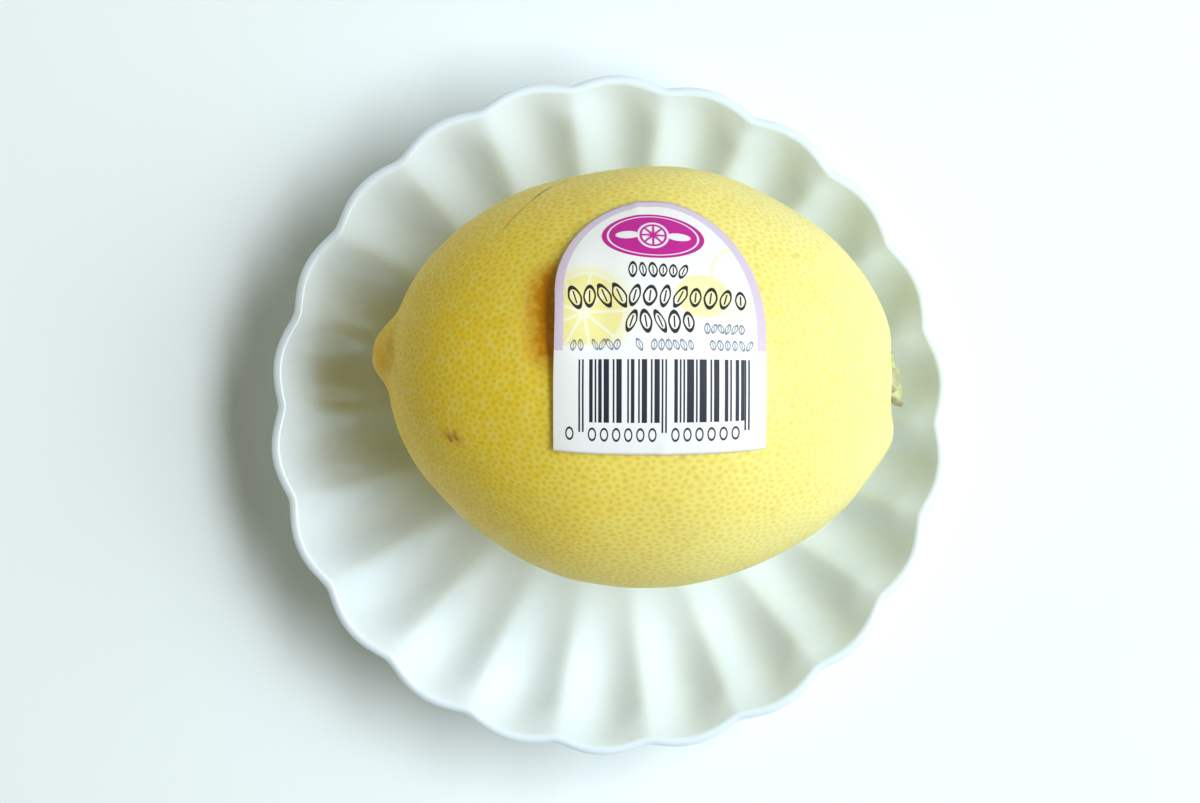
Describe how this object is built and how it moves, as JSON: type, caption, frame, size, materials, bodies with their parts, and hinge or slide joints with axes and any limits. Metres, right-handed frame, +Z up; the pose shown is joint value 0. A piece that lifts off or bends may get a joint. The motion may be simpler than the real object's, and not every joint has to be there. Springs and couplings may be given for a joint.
{
  "type": "lemon on a plate",
  "caption": "Whole lemon with a blunt tip, a recessed stem button and an arched paper label, resting off centre on a small footed dish pressed into petals.",
  "frame": {"origin": "the centre of the plate's round foot, at table level", "axes": "+Z is up, square to the table; +X is towards the lemon's stem end, nearly along its long axis; +Y is towards the label's arched top"},
  "size_m": [0.1088, 0.1092, 0.0703],
  "materials": {
    "porcelain": "clear gloss glaze on cool white porcelain",
    "peel": "waxy, finely dimpled lemon peel",
    "calyx": "dry green sepals, brown and ragged at their edges",
    "label_paper": "coated label paper, satin"
  },
  "bodies": {
    "root": {"plate": "porcelain", "lemon": "peel", "calyx": "calyx", "label": "label_paper"}
  },
  "joints": []
}
